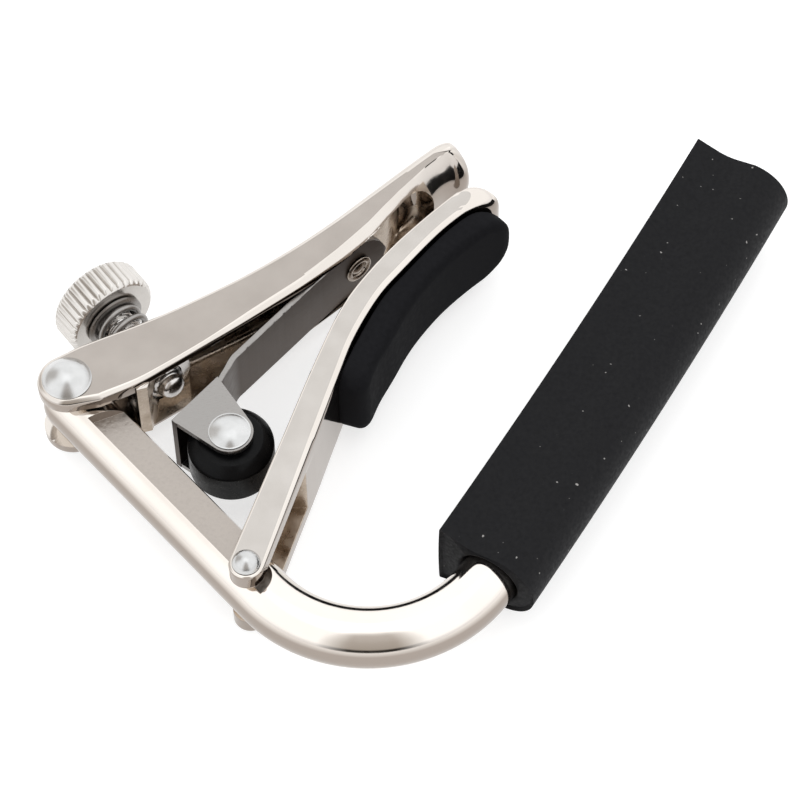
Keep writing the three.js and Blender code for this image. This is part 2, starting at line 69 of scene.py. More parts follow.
PIVOT_A = np.array([-34.48, 0.22])
PIVOT_B = np.array([-15.71, -22.54])
ROW_A = np.array(joints["lever_pivot"]["pos_m"][:2]) / MM
SHIFT = ROW_A - PIVOT_A

ROD_RADIUS = 3.145
ROD_DIRECTION = -49.75
BEND_START = np.array([-14.135, -23.283])
BEND_RADIUS = 14.15
BEND_ANGLE = 107.1
BAR_LENGTH = 56.0
CAMBER_RADIUS = 980.0
POCKET_FLOOR = 1.7
POCKET_RIDGE = -1.05
POCKET_START = 27.0

SLEEVE_LENGTH = 56.9
SLEEVE_FACE = 5.93
SLEEVE_FACE_HALF = 4.77
SLEEVE_BACK_RADIUS = 4.24
SLEEVE_BACK_CENTRE = -1.09
SLEEVE_EASING = 0.06
SLEEVE_RIM = 0.3

LEVER_HALF = 5.0
LEVER_WALL = 0.95
LEVER_NOSE_RADIUS = 3.13
PIVOT_GAP = 3.4
SWING_ROOM = 0.65
CHANNEL_END = 1.2
ARM_HALF = 5.5
ARM_FOOT_RADIUS = 1.8
ARM_HEADING = 70.9
ARM_CORNER = 3.2
ARM_BULGE = 2.1
PAD_HALF = 5.0
PAD_TOE_RADIUS = 2.3
PAD_NOSE_RADIUS = 4.3

SCREW_DIRECTION = 126.5
KNOB_FACE = np.array([-30.3, 10.95])
KNOB_RADIUS = 5.22
KNOB_LENGTH = 3.92
KNOB_RIDGES = 36
KNURL_DEPTH = 0.42
SCREW_RADIUS = 1.85
SCREW_REACH = 11.7
SCREW_PITCH = 0.7
SCREW_TIP_RADIUS = 1.45
SCREW_TIP_HEIGHT = 1.05
THREAD_DEPTH = 0.36
WEB_DISTANCE = 4.9
BUSHING_RADIUS = 2.7
BUSHING_END = 9.7
SPRING_RADIUS = 2.5
SPRING_WIRE = 0.7
WASHER_THICKNESS = 0.4

ROLLER_CENTRE = np.array([-17.58, -6.2])
ROLLER_RADIUS = 4.52
LEAF_THICKNESS = 0.65
CLEVIS_HALF = 4.3
LEAF_HALF = 3.8
EAR_RADIUS = 2.45
LEAF_RIVET = np.array([-4.05, 16.75])
LEAF_RIVET_HEADING = 40.5


# ---------------------------------------------------------------- camera

CAMERA_DISTANCE = 367.70
CAMERA_ELEVATION = math.radians(57.196)
CAMERA_ROLL = math.radians(-1.154)
CAMERA_LENS = 157.88


def make_camera():
    e, r = CAMERA_ELEVATION, CAMERA_ROLL
    back = Vector((0.0, -math.cos(e), math.sin(e)))
    right = Vector((1.0, 0.0, 0.0))
    up = right.cross(-back)
    x_axis = math.cos(r) * right + math.sin(r) * up
    y_axis = -math.sin(r) * right + math.cos(r) * up
    data = bpy.data.cameras.new("camera")
    data.lens = CAMERA_LENS
    data.sensor_width = 36.0
    data.clip_start = 0.01
    data.clip_end = 20.0
    camera = bpy.data.objects.new("camera", data)
    bpy.context.scene.collection.objects.link(camera)
    centre = Vector((SHIFT[0] * MM, SHIFT[1] * MM, 0.0))
    place = centre + back * CAMERA_DISTANCE * MM
    axes = Matrix((x_axis, y_axis, back)).transposed().to_4x4()
    camera.matrix_world = Matrix.Translation(place) @ axes
    bpy.context.scene.camera = camera


make_camera()


# ---------------------------------------------------------------- mesh helpers, in millimetres

def polar(degrees):
    a = math.radians(degrees)
    return np.array([math.cos(a), math.sin(a)])


def arc(centre, radius, start, stop, steps):
    return np.array([np.asarray(centre) + radius * polar(a) for a in np.linspace(start, stop, steps + 1)])


def round_section(radius, sides=64):
    return [(radius * math.cos(a), radius * math.sin(a)) for a in np.arange(sides) * 2 * math.pi / sides]


def ring_on_z(radius, z, sides):
    """A ring round the Z axis; the radius may differ from point to point."""
    around = np.arange(sides) * 2 * math.pi / sides
    return np.column_stack([radius * np.cos(around), radius * np.sin(around), np.full(sides, z)])


def spline(points, count):
    """Catmull-Rom curve through the points, evenly spaced along its length."""
    p = np.asarray(points, float)
    p = np.vstack([2 * p[0] - p[1], p, 2 * p[-1] - p[-2]])
    fine = []
    for i in range(1, len(p) - 2):
        for t in np.linspace(0, 1, 40, endpoint=False):
            a, b, c, d = p[i - 1], p[i], p[i + 1], p[i + 2]
            square = (2 * a - 5 * b + 4 * c - d) * t**2
            cube = (3 * b - a - 3 * c + d) * t**3
            fine.append(0.5 * (2 * b + (c - a) * t + square + cube))
    fine.append(p[-2])
    fine = np.array(fine)
    run = np.concatenate([[0], np.cumsum(np.linalg.norm(np.diff(fine, axis=0), axis=1))])
    at = np.linspace(0, run[-1], count)
    return np.stack([np.interp(at, run, fine[:, k]) for k in range(fine.shape[1])], 1)


def normals_left(points, closed):
    p = np.asarray(points, float)
    if closed:
        d = np.roll(p, -1, 0) - np.roll(p, 1, 0)
    else:
        d = np.gradient(p, axis=0)
    d /= np.linalg.norm(d, axis=1)[:, None]
    return np.stack([-d[:, 1], d[:, 0]], 1)


def area(points):
    x, y = np.asarray(points, float).T
    return 0.5 * float(np.sum(x * np.roll(y, -1) - np.roll(x, -1) * y))


def link(name, verts, faces):
    mesh = bpy.data.meshes.new(name)
    mesh.from_pydata(np.asarray(verts, float).tolist(), [], faces)
    obj = bpy.data.objects.new(name, mesh)
    bpy.context.scene.collection.objects.link(obj)
    bm = bmesh.new()
    bm.from_mesh(mesh)
    bmesh.ops.remove_doubles(bm, verts=bm.verts, dist=1e-5)
    bmesh.ops.recalc_face_normals(bm, faces=bm.faces)
    bm.to_mesh(mesh)
    bm.free()
    return obj


def loft(name, rings):
    """A skin over closed rings of equal length, closed at both ends."""
    n = len(rings[0])
    verts = np.concatenate(rings)
    faces = []
    for k in range(len(rings) - 1):
        for i in range(n):
            j = (i + 1) % n
            faces.append((k * n + i, k * n + j, (k + 1) * n + j, (k + 1) * n + i))
    faces.append(tuple(reversed(range(n))))
    faces.append(tuple((len(rings) - 1) * n + i for i in range(n)))
    return link(name, verts, faces)


def rounded_slab(name, outline, low, high, inset, drop, crisp, steps):
    """A plate across Z with eased rims: inset in the plane, drop along Z, both given point by point.

    The rims are quarter ellipses where crisp is 0 and slightly hollow chamfers where it is 1.
    """
    p = np.asarray(outline, float)
    if area(p) < 0:
        p, inset, drop, crisp = p[::-1], inset[::-1], drop[::-1], crisp[::-1]
    n = normals_left(p, True)
    half = []
    for a in np.linspace(0, math.pi / 2, steps + 1):
        t = 2 * a / math.pi
        inward_share = (1 - crisp) * (1 - math.sin(a)) + crisp * (1 - t)
        drop_share = (1 - crisp) * (1 - math.cos(a)) + crisp * (1 - (1 - t) ** 0.8)
        half.append((p + n * (inset * inward_share)[:, None], drop * drop_share))
    rings = [np.column_stack([q, low + depth]) for q, depth in half]
    rings += [np.column_stack([q, high - depth]) for q, depth in half[::-1]]
    return loft(name, rings)


def slab(name, outline, low, high):
    p = np.asarray(outline, float)
    if area(p) < 0:
        p = p[::-1]
    return loft(name, [np.column_stack([p, np.full(len(p), z)]) for z in (low, high)])


def placed(centre):
    """Moves a body turned on Z to a point of the capo's plane."""
    return Matrix.Translation((*centre, 0))


def turned(name, profile, segments, matrix):
    """A turned body on Z from [radius, height] pairs, then moved; radius 0 closes on the axis."""
    verts, faces, rows = [], [], []
    for r, z in profile:
        if r < 1e-6:
            rows.append([len(verts)])
            verts.append((0, 0, z))
        else:
            rows.append(list(range(len(verts), len(verts) + segments)))
            verts += [(x, y, z) for x, y in round_section(r, segments)]
    for a, b in zip(rows, rows[1:]):
        for i in range(segments):
            j = (i + 1) % segments
            if len(a) == 1 and len(b) == 1:
                continue
            if len(a) == 1:
                faces.append((a[0], b[j], b[i]))
            elif len(b) == 1:
                faces.append((a[i], a[j], b[0]))
            else:
                faces.append((a[i], a[j], b[j], b[i]))
    obj = link(name, verts, faces)
    obj.data.transform(matrix)
    return obj


def cylinder(name, radius, low, high, segments, matrix):
    return turned(name, [(0, low), (radius, low), (radius, high), (0, high)], segments, matrix)


def smoothed(obj, centre, full, reach, rounds):
    """Evens out the skin around a line across Z, fading between two distances from it."""
    bm = bmesh.new()
    bm.from_mesh(obj.data)
    middle = Vector((*centre, 0))
    for _ in range(rounds):
        moved = []
        for v in bm.verts:
            away = Vector((v.co.x, v.co.y, 0)) - middle
            share = 0.5 * min(max((reach - away.length) / (reach - full), 0), 1)
            if share > 0:
                around = sum((e.other_vert(v).co for e in v.link_edges), Vector()) / len(v.link_edges)
                moved.append((v, v.co.lerp(around, share)))
        for v, co in moved:
            v.co = co
    bm.to_mesh(obj.data)
    bm.free()


def apply_modifiers(obj):
    graph = bpy.context.evaluated_depsgraph_get()
    graph.update()
    mesh = bpy.data.meshes.new_from_object(obj.evaluated_get(graph))
    obj.modifiers.clear()
    old = obj.data
    obj.data = mesh
    bpy.data.meshes.remove(old)


def cut(obj, *tools, operation="DIFFERENCE"):
    for tool in tools:
        m = obj.modifiers.new("cut", "BOOLEAN")
        m.operation = operation
        m.solver = "EXACT"
        m.object = tool
        bpy.context.view_layer.update()
        apply_modifiers(obj)
        bpy.data.objects.remove(tool)
    return obj


def soften(obj, width, angle=35, segments=2):
    m = obj.modifiers.new("soften", "BEVEL")
    m.width = width
    m.segments = segments
    m.limit_method = "ANGLE"
    m.angle_limit = math.radians(angle)
    m.use_clamp_overlap = True
    m.harden_normals = False
    apply_modifiers(obj)
    return obj


def at_axis(origin, direction):
    """Places a body turned on Z at a point of the capo's plane, with Z along a direction in the plane."""
    turn = Vector((0, 0, 1)).rotation_difference(Vector((*direction, 0)))
    return Matrix.Translation((*origin, 0)) @ turn.to_matrix().to_4x4()


SCREW_FRAME = at_axis(KNOB_FACE, polar(SCREW_DIRECTION))


def finish_piece(obj, material, body, nodes, sharp=32):
    """Scales a piece to metres, puts it in the row's frame and lets it ride on its body."""
    obj.data.transform(Matrix.Scale(MM, 4) @ Matrix.Translation((SHIFT[0], SHIFT[1], 0)))
    obj.data.polygons.foreach_set("use_smooth", [True] * len(obj.data.polygons))
    obj.data.set_sharp_from_angle(angle=math.radians(sharp))
    weighted = obj.modifiers.new("weighted", "WEIGHTED_NORMAL")
    weighted.keep_sharp = True
    weighted.mode = "FACE_AREA"
    weighted.weight = 60
    obj.data.materials.clear()
    obj.data.materials.append(material)
    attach(obj, body)
    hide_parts(*nodes)
    return obj


def inside(point, outline):
    """Whether a point of the capo's plane lies within a polygon."""
    x, y = point[0], point[1]
    p = np.asarray(outline, float)
    q = np.roll(p, -1, 0)
    crosses = (p[:, 1] > y) != (q[:, 1] > y)
    with np.errstate(divide="ignore", invalid="ignore"):
        at = p[:, 0] + (y - p[:, 1]) * (q[:, 0] - p[:, 0]) / (q[:, 1] - p[:, 1])
    return bool(np.count_nonzero(crosses & (x < at)) % 2)


def paint(obj, material, chosen):
    """Gives faces a second material; chosen sees a face's centre, in design millimetres, and its normal."""
    obj.data.materials.append(material)
    index = len(obj.data.materials) - 1
    for face in obj.data.polygons:
        c = face.center / MM
        if chosen((c.x - SHIFT[0], c.y - SHIFT[1], c.z), face.normal):
            face.material_index = index


# ---------------------------------------------------------------- materials

def principled(name, colour, metallic, roughness):
    material = bpy.data.materials.new(name)
    material.use_nodes = True
    nodes = material.node_tree.nodes
    shader = nodes["Principled BSDF"]
    shader.inputs["Base Color"].default_value = (*colour, 1)
    shader.inputs["Metallic"].default_value = metallic
    shader.inputs["Roughness"].default_value = roughness
    return material, nodes, material.node_tree.links, shader


def noise(nodes, links, scale, detail=3.0, stretch=None):
    coords = nodes.new("ShaderNodeTexCoord")
    texture = nodes.new("ShaderNodeTexNoise")
    texture.inputs["Scale"].default_value = scale
    texture.inputs["Detail"].default_value = detail
    if stretch is None:
        links.new(coords.outputs["Object"], texture.inputs["Vector"])
    else:
        mapping = nodes.new("ShaderNodeMapping")
        mapping.inputs["Scale"].default_value = stretch
        links.new(coords.outputs["Object"], mapping.inputs["Vector"])
        links.new(mapping.outputs["Vector"], texture.inputs["Vector"])
    return texture.outputs["Fac"]


def ramp(nodes, links, value, low, high, start=0.3, stop=0.7):
    node = nodes.new("ShaderNodeMapRange")
    node.inputs["From Min"].default_value = start
    node.inputs["From Max"].default_value = stop
    node.inputs["To Min"].default_value = low
    node.inputs["To Max"].default_value = high
    links.new(value, node.inputs["Value"])
    return node.outputs["Result"]


def colour_ramp(nodes, links, value, stops):
    node = nodes.new("ShaderNodeValToRGB")
    elements = node.color_ramp.elements
    elements[0].position, elements[0].color = stops[0][0], (*stops[0][1], 1)
    elements[1].position, elements[1].color = stops[-1][0], (*stops[-1][1], 1)
    for position, colour in stops[1:-1]:
        element = elements.new(position)
        element.color = (*colour, 1)
    links.new(value, node.inputs["Fac"])
    return node.outputs["Color"]


def math_node(nodes, links, operation, *values):
    node = nodes.new("ShaderNodeMath")
    node.operation = operation
    for socket, value in zip(node.inputs, values):
        if isinstance(value, (int, float)):
            socket.default_value = value
        else:
            links.new(value, socket)
    return node.outputs[0]


def bump(nodes, links, shader, height, strength, distance):
    node = nodes.new("ShaderNodeBump")
    node.inputs["Strength"].default_value = strength
    node.inputs["Distance"].default_value = distance
    links.new(height, node.inputs["Height"])
    links.new(node.outputs["Normal"], shader.inputs["Normal"])


def blended(nodes, links, share, a, b):
    """Colour a where share is 0 and colour b where it is 1; b may be a plain colour."""
    mix = nodes.new("ShaderNodeMix")
    mix.data_type = "RGBA"
    links.new(share, mix.inputs["Factor"])
    links.new(a, mix.inputs["A"])
    if isinstance(b, tuple):
        mix.inputs["B"].default_value = (*b, 1)
    else:
        links.new(b, mix.inputs["B"])
    return mix.outputs["Result"]


# painted shade: the colour given to upright faces of the polished plating in place of the dimmer reflection
# they catch
PAINTED_SIDE_SHADE = (0.33, 0.285, 0.25)


def polished_nickel(name, gain):
    """Mirror plating; faces that stand upright on the capo's sides get a darker, warmer painted shade in place
    of the dimmer reflection they catch, while flat-lying faces keep the plain plating.
    """
    material, nodes, links, shader = principled(name, (0.78 * gain, 0.735 * gain, 0.685 * gain), 1.0, 0.1)
    cloud = noise(nodes, links, 120, 4)
    tint = colour_ramp(nodes, links, cloud, [
        (0.35, (0.76 * gain, 0.705 * gain, 0.65 * gain)), (0.65, (0.80 * gain, 0.75 * gain, 0.695 * gain)),
    ])
    coords = nodes.new("ShaderNodeTexCoord")
    split = nodes.new("ShaderNodeSeparateXYZ")
    links.new(coords.outputs["Normal"], split.inputs["Vector"])
    upright = math_node(nodes, links, "ABSOLUTE", split.outputs["Z"])
    # upright faces are blended towards the painted side shade
    side_shaded = blended(nodes, links, ramp(nodes, links, upright, 1.0, 0.0, 0.35, 0.62), tint, PAINTED_SIDE_SHADE)
    links.new(side_shaded, shader.inputs["Base Color"])
    links.new(ramp(nodes, links, noise(nodes, links, 900, 5), 0.06, 0.13), shader.inputs["Roughness"])
    bump(nodes, links, shader, noise(nodes, links, 260, 2), 0.06, 0.0002)
    return material


def satin_nickel():
    """The pocket floors: plated over a grainy casting skin, with their colour darkened as painted shade for
    the dimmer reflection of a flat floor.
    """
    material, nodes, links, shader = principled("satin_nickel", (0.70, 0.665, 0.62), 1.0, 0.38)
    grain = noise(nodes, links, 2600, 4)
    tint = colour_ramp(nodes, links, grain, [(0.3, (0.36, 0.325, 0.295)), (0.7, (0.43, 0.39, 0.355))])
    links.new(tint, shader.inputs["Base Color"])
    links.new(ramp(nodes, links, grain, 0.28, 0.5), shader.inputs["Roughness"])
    bump(nodes, links, shader, grain, 0.35, 0.0001)
    return material


def rivet_steel():
    material, nodes, links, shader = principled("rivet_steel", (0.62, 0.625, 0.63), 1.0, 0.3)
    grain = noise(nodes, links, 420, 3)
    tint = colour_ramp(nodes, links, grain, [(0.35, (0.50, 0.50, 0.495)), (0.65, (0.60, 0.60, 0.595))])
    links.new(tint, shader.inputs["Base Color"])
    links.new(ramp(nodes, links, grain, 0.2, 0.28), shader.inputs["Roughness"])
    bump(nodes, links, shader, grain, 0.05, 0.00003)
    return material


def eyelet_steel():
    material, nodes, links, shader = principled("eyelet_steel", (0.36, 0.31, 0.27), 1.0, 0.25)
    grain = noise(nodes, links, 2200, 4)
    tint = colour_ramp(nodes, links, grain, [(0.35, (0.30, 0.255, 0.215)), (0.65, (0.44, 0.385, 0.335))])
    links.new(tint, shader.inputs["Base Color"])
    links.new(ramp(nodes, links, grain, 0.16, 0.3), shader.inputs["Roughness"])
    bump(nodes, links, shader, grain, 0.08, 0.00004)
    return material


def screw_steel():
    material, nodes, links, shader = principled("screw_steel", (0.62, 0.605, 0.585), 1.0, 0.22)
    grain = noise(nodes, links, 1500, 4)
    tint = colour_ramp(nodes, links, grain, [(0.35, (0.55, 0.53, 0.51)), (0.65, (0.68, 0.66, 0.64))])
    links.new(tint, shader.inputs["Base Color"])
    links.new(ramp(nodes, links, grain, 0.16, 0.32), shader.inputs["Roughness"])
    return material


def shaded_flat_nickel(name, dark, light):
    """The flats of the plated castings, very finely brushed; their darker colour is painted shade in place of
    the dimmer reflection that a flat face catches.
    """
    material, nodes, links, shader = principled(name, dark, 1.0, 0.14)
    grain = noise(nodes, links, 260, 4)
    links.new(colour_ramp(nodes, links, grain, [(0.3, dark), (0.7, light)]), shader.inputs["Base Color"])
    links.new(ramp(nodes, links, noise(nodes, links, 1500, 4), 0.10, 0.18), shader.inputs["Roughness"])
    bump(nodes, links, shader, grain, 0.03, 0.00003)
    return material


def satin_stainless():
    material, nodes, links, shader = principled("satin_stainless", (0.58, 0.57, 0.56), 1.0, 0.3)
    brushed = noise(nodes, links, 1600, 4, (1.0, 9.0, 1.0))
    tint = colour_ramp(nodes, links, brushed, [(0.2, (0.285, 0.272, 0.26)), (0.8, (0.325, 0.312, 0.30))])
    links.new(tint, shader.inputs["Base Color"])
    links.new(ramp(nodes, links, brushed, 0.26, 0.34), shader.inputs["Roughness"])
    bump(nodes, links, shader, brushed, 0.04, 0.00003)
    return material


def leaf_steel():
    """The leaf's wide faces: dark tempered spring steel."""
    material, nodes, links, shader = principled("leaf_steel", (0.17, 0.145, 0.13), 1.0, 0.34)
    grain = noise(nodes, links, 700, 5, (1.0, 1.0, 4.0))
    tint = colour_ramp(nodes, links, grain, [(0.3, (0.057, 0.043, 0.035)), (0.7, (0.088, 0.070, 0.059))])
    links.new(tint, shader.inputs["Base Color"])
    links.new(ramp(nodes, links, grain, 0.28, 0.42), shader.inputs["Roughness"])
    bump(nodes, links, shader, grain, 0.08, 0.00005)
    return material


def channel_nickel():
    """Plating over the rough inside of a casting: darker and warmer than outside."""
    material, nodes, links, shader = principled("channel_nickel", (0.30, 0.24, 0.185), 1.0, 0.25)
    skin = noise(nodes, links, 500, 4)
    tint = colour_ramp(nodes, links, skin, [(0.3, (0.36, 0.29, 0.225)), (0.7, (0.60, 0.515, 0.43))])
    links.new(tint, shader.inputs["Base Color"])
    links.new(ramp(nodes, links, skin, 0.15, 0.38), shader.inputs["Roughness"])
    bump(nodes, links, shader, noise(nodes, links, 900, 4), 0.3, 0.00015)
    return material


def knurled_nickel():
    material, nodes, links, shader = principled("knurled_nickel", (0.70, 0.67, 0.63), 1.0, 0.3)
    grain = noise(nodes, links, 700, 4)
    tint = colour_ramp(nodes, links, grain, [(0.3, (0.58, 0.555, 0.525)), (0.7, (0.64, 0.615, 0.585))])
    links.new(tint, shader.inputs["Base Color"])
    links.new(ramp(nodes, links, grain, 0.14, 0.24), shader.inputs["Roughness"])
    bump(nodes, links, shader, grain, 0.08, 0.00004)
    return material


def matte_rubber():
    material, nodes, links, shader = principled("matte_rubber", (0.008, 0.008, 0.009), 0.0, 0.62)
    shader.inputs["Specular IOR Level"].default_value = 0.12
    skin = noise(nodes, links, 2400, 6)
    specks = noise(nodes, links, 1500, 1)
    tint = colour_ramp(nodes, links, specks, [
        (0.0, (0.0065, 0.0065, 0.0075)), (0.765, (0.009, 0.009, 0.010)), (0.80, (0.30, 0.29, 0.28)),
    ])
    links.new(tint, shader.inputs["Base Color"])
    links.new(ramp(nodes, links, skin, 0.5, 0.74), shader.inputs["Roughness"])
    bump(nodes, links, shader, skin, 0.22, 0.00008)
    return material


def pad_rubber():
    material, nodes, links, shader = principled("pad_rubber", (0.006, 0.006, 0.0065), 0.0, 0.5)
    shader.inputs["Specular IOR Level"].default_value = 0.02
    skin = noise(nodes, links, 1800, 5)
    tint = colour_ramp(nodes, links, skin, [(0.3, (0.009, 0.009, 0.0102)), (0.7, (0.0125, 0.0125, 0.014))])
    links.new(tint, shader.inputs["Base Color"])
    links.new(ramp(nodes, links, skin, 0.6, 0.8), shader.inputs["Roughness"])
    bump(nodes, links, shader, skin, 0.06, 0.00004)
    return material


def black_nylon():
    material, nodes, links, shader = principled("black_nylon", (0.003, 0.003, 0.0033), 0.0, 0.3)
    shader.inputs["Specular IOR Level"].default_value = 0.1
    grain = noise(nodes, links, 1600, 4)
    links.new(ramp(nodes, links, grain, 0.22, 0.4), shader.inputs["Roughness"])
    bump(nodes, links, shader, grain, 0.1, 0.00004)
    return material


NICKEL = polished_nickel("polished_nickel", 1.0)
# the lever's and the arm's copies of the plating are darkened by gain as painted shade, in place of the greyer
# reflections these parts catch
LEVER_NICKEL = polished_nickel("lever_nickel", 0.80)
ARM_NICKEL = polished_nickel("arm_nickel", 0.85)
SATIN = satin_nickel()
RIVET = rivet_steel()
EYELET = eyelet_steel()
# flat faces of the lever and the arm: darker copies of the plating, painted shade for their dimmer reflection
LEVER_FLAT = shaded_flat_nickel("lever_flat", (0.355, 0.322, 0.292), (0.395, 0.36, 0.328))
ARM_FLAT = shaded_flat_nickel("arm_flat", (0.455, 0.425, 0.395), (0.515, 0.485, 0.455))
SCREW = screw_steel()
STAINLESS = satin_stainless()
LEAF = leaf_steel()
CHANNEL = channel_nickel()
KNURLED = knurled_nickel()
SLEEVE_RUBBER = matte_rubber()
PAD_RUBBER = pad_rubber()
NYLON = black_nylon()


# ---------------------------------------------------------------- bent bar

along = polar(ROD_DIRECTION)
inward = np.array([-along[1], along[0]])
bend_centre = BEND_START + inward * BEND_RADIUS
straight_length = float((BEND_START - PIVOT_A) @ along)
bend_length = math.radians(BEND_ANGLE) * BEND_RADIUS
bar_start = straight_length + bend_length


def beside(s, v):
    return BEND_START - along * s + inward * v


def bar(s):
    """(point, heading in radians) at a distance along the bar's centre line."""
    if s <= straight_length:
        return BEND_START + along * (s - straight_length), math.radians(ROD_DIRECTION)
    turn = min(s - straight_length, bend_length) / BEND_RADIUS
    heading = math.radians(ROD_DIRECTION) + turn
    point = bend_centre + BEND_RADIUS * np.array([math.sin(heading), -math.cos(heading)])
    run = max(0.0, s - bar_start)
    bow = run / CAMBER_RADIUS / 2
    point = point + run * np.array([math.cos(heading + bow), math.sin(heading + bow)])
    return point, heading + 2 * bow


def bar_ring(s, section):
    """A section (z, v) set across the bar."""
    point, heading = bar(s)
    left = np.array([-math.sin(heading), math.cos(heading)])
    return np.array([[*(point + left * v), z] for z, v in section])


def build_rod():
    rings = []
    for a in np.radians(np.linspace(2, 88, 12)):
        rings.append(bar_ring(-ROD_RADIUS * math.cos(a), round_section(ROD_RADIUS * math.sin(a))))
    straight = np.linspace(0, straight_length, 5)
    bend = np.linspace(straight_length, bar_start, 61)[1:]
    string_bar = np.linspace(bar_start, bar_start + BAR_LENGTH, 8)[1:]
    for s in np.concatenate([straight, bend, string_bar]):
        rings.append(bar_ring(s, round_section(ROD_RADIUS)))
    rod = loft("bar", rings)
    outline = np.vstack([
        [beside(POCKET_START, POCKET_RIDGE)],
        arc(PIVOT_B, 2.5, ROD_DIRECTION - 8, ROD_DIRECTION + 90, 20),
        [beside(1.6, 5), beside(POCKET_START - 2, 5)],
    ])
    cut(rod, slab("pocket_top", outline, POCKET_FLOOR, 6), slab("pocket_under", outline, -6, -POCKET_FLOOR))
    soften(rod, 0.16, 30, 3)
    finish_piece(rod, NICKEL, "frame", ["frame_rod"])
    # the pocket floors get the grainy plating whose darker colour is painted shade
    paint(rod, SATIN, lambda c, n: abs(abs(c[2]) - POCKET_FLOOR) < 0.02 and abs(n.z) > 0.99)
    return rod


def sleeve_section():
    """(z, v) points of the sleeve: flat string side, hollow flanks and round back."""
    face, half = SLEEVE_FACE, SLEEVE_FACE_HALF
    side = spline([(half, face - 0.22), (4.3, 4.2), (3.88, 2.6), (3.85, 1.4), (4.03, 0.2), (4.24, -1.09)], 26)
    back = arc((0, SLEEVE_BACK_CENTRE), SLEEVE_BACK_RADIUS, 0, -180, 40)
    across = np.linspace(-half + 0.2, half - 0.2, 17)
    top = np.column_stack([across, face - 0.02 - 0.1 * (across / half) ** 2])
    right = np.vstack([[(half - 0.05, face - 0.17)], side])
    left = right[::-1] * [-1, 1]
    return np.vstack([top, right, back[1:-1], left])


def build_sleeve():
    section = sleeve_section()
    angle = np.arctan2(section[:, 1], section[:, 0])
    bore = np.column_stack([np.cos(angle), np.sin(angle)])
    rings = []

    def ring(s, eased):
        rings.append(bar_ring(s, section * (1 - SLEEVE_EASING * eased)))

    start, end = bar_start, bar_start + SLEEVE_LENGTH
    rings.append(bar_ring(start + 8, bore * (ROD_RADIUS + 0.02)))
    rings.append(bar_ring(start + 0.5, bore * (ROD_RADIUS + 0.02)))
    rings.append(bar_ring(start + 0.1, bore * (ROD_RADIUS + 0.25)))
    rings.append(bar_ring(start, bore * (ROD_RADIUS + 0.5)))
    easings = 1 - np.sin(np.radians(np.linspace(0, 90, 6)))
    for eased in easings:
        ring(start + SLEEVE_RIM * eased, eased)
    for s in np.linspace(start + 4 * SLEEVE_RIM, end - 4 * SLEEVE_RIM, 40):
        ring(s, 0)
    for eased in easings[::-1]:
        ring(end - SLEEVE_RIM * eased, eased)
    sleeve = loft("sleeve", rings)
    return finish_piece(sleeve, SLEEVE_RUBBER, "frame", ["string_sleeve"], 40)


# ---------------------------------------------------------------- arm and pad

ARM_BACK = [
    (-12.2, -7.9), (-8.8, 1.4), (-5.8, 8.5), (-2.3, 13.7), (0.8, 17.3), (4.4, 20.9), (6.8, 23.0), (8.6, 23.8),
]
ARM_FACE = [
    (9.6, 21.5), (7.8, 20.6), (4.7, 17.8), (0.7, 13.1), (-1.9, 9.7), (-4.5, 4.7), (-6.3, -0.4), (-8.9, -8.3),
]
# the arm's slot, as (distance along the arm from its pivot, distance towards the pad)
ARM_FORK = [(-4, -4), (-4, 5), (13, 5), (13, 1.9), (12.2, -0.55), (6.9, -0.55), (8.8, -2.2), (8.8, -4)]
PAD_CONTACT = [
    (-3.55, -1.6), (-2.2, 2.0), (-0.6, 5.1), (1.0, 8.3), (2.7, 11.0), (4.9, 13.8), (7.5, 16.4), (10.2, 18.7),
    (11.6, 19.75), (12.5, 20.5),
]
PAD_TOP = [
    (-6.5, -0.6), (-4.15, 4.75), (-1.6, 9.65), (0.95, 12.95), (4.95, 17.65), (8.0, 20.35), (9.7, 21.2),
    (11.3, 21.75),
]
# (share of the pad's thickness, easing of its outline)
PAD_PROFILE = [
    (0.0, 0.12), (0.05, 0.03), (0.12, 0.0), (0.25, 0.0), (0.45, 0.0), (0.62, 0.0), (0.70, 0.03), (0.77, 0.10),
    (0.84, 0.24), (0.90, 0.44), (0.95, 0.70), (0.985, 1.05), (1.0, 1.35),
]


def portion(curve, start, end, count):
    """Points spaced evenly between two distances along a curve."""
    q = np.asarray(curve, float)
    reach = np.concatenate([[0], np.cumsum(np.linalg.norm(np.diff(q, axis=0), axis=1))])
    places = np.linspace(start, end, count)
    return np.column_stack([np.interp(places, reach, q[:, k]) for k in range(2)])


def curve_length(curve):
    return float(np.linalg.norm(np.diff(curve, axis=0), axis=1).sum())


def round_end(z, half, radius):
    """How far a plate with rounded corners ends before its tip, at a height z."""
    beyond = np.clip(abs(z) - (half - radius), 0, radius)
    return radius - math.sqrt(max(radius**2 - beyond**2, 0))


def heights_across(half, count=15):
    """Heights across a plate, closer together towards its faces."""
    return [half * math.sin(a) for a in np.linspace(-math.pi / 2, math.pi / 2, 2 * count + 1)]


def rim_inset(z, half, inset, drop):
    """The inset of a quarter ellipse rim at a height z."""
    t = np.clip((abs(z) - (half - drop)) / np.maximum(drop, 1e-6), 0, 1)
    return inset * (1 - np.sqrt(1 - t**2))


def stacked(name, shape, heights, half, inset, drop):
    """A plate whose outline may change with height; shape(z) gives equal counts of points."""
    rings = []
    for z in heights:
        q = np.asarray(shape(z), float)
        n = normals_left(q, True) * (1 if area(q) > 0 else -1)
        rings.append(np.column_stack([q + n * rim_inset(z, half, inset, drop)[:, None], np.full(len(q), z)]))
    return loft(name, rings)


def corner(before, point, after, steps=9):
    """A rounded corner that starts at one point and ends at another."""
    a, c, b = (np.asarray(q, float) for q in (before, point, after))
    return np.array([a * (1 - t) ** 2 + c * 2 * t * (1 - t) + b * t**2 for t in np.linspace(0, 1, steps)])


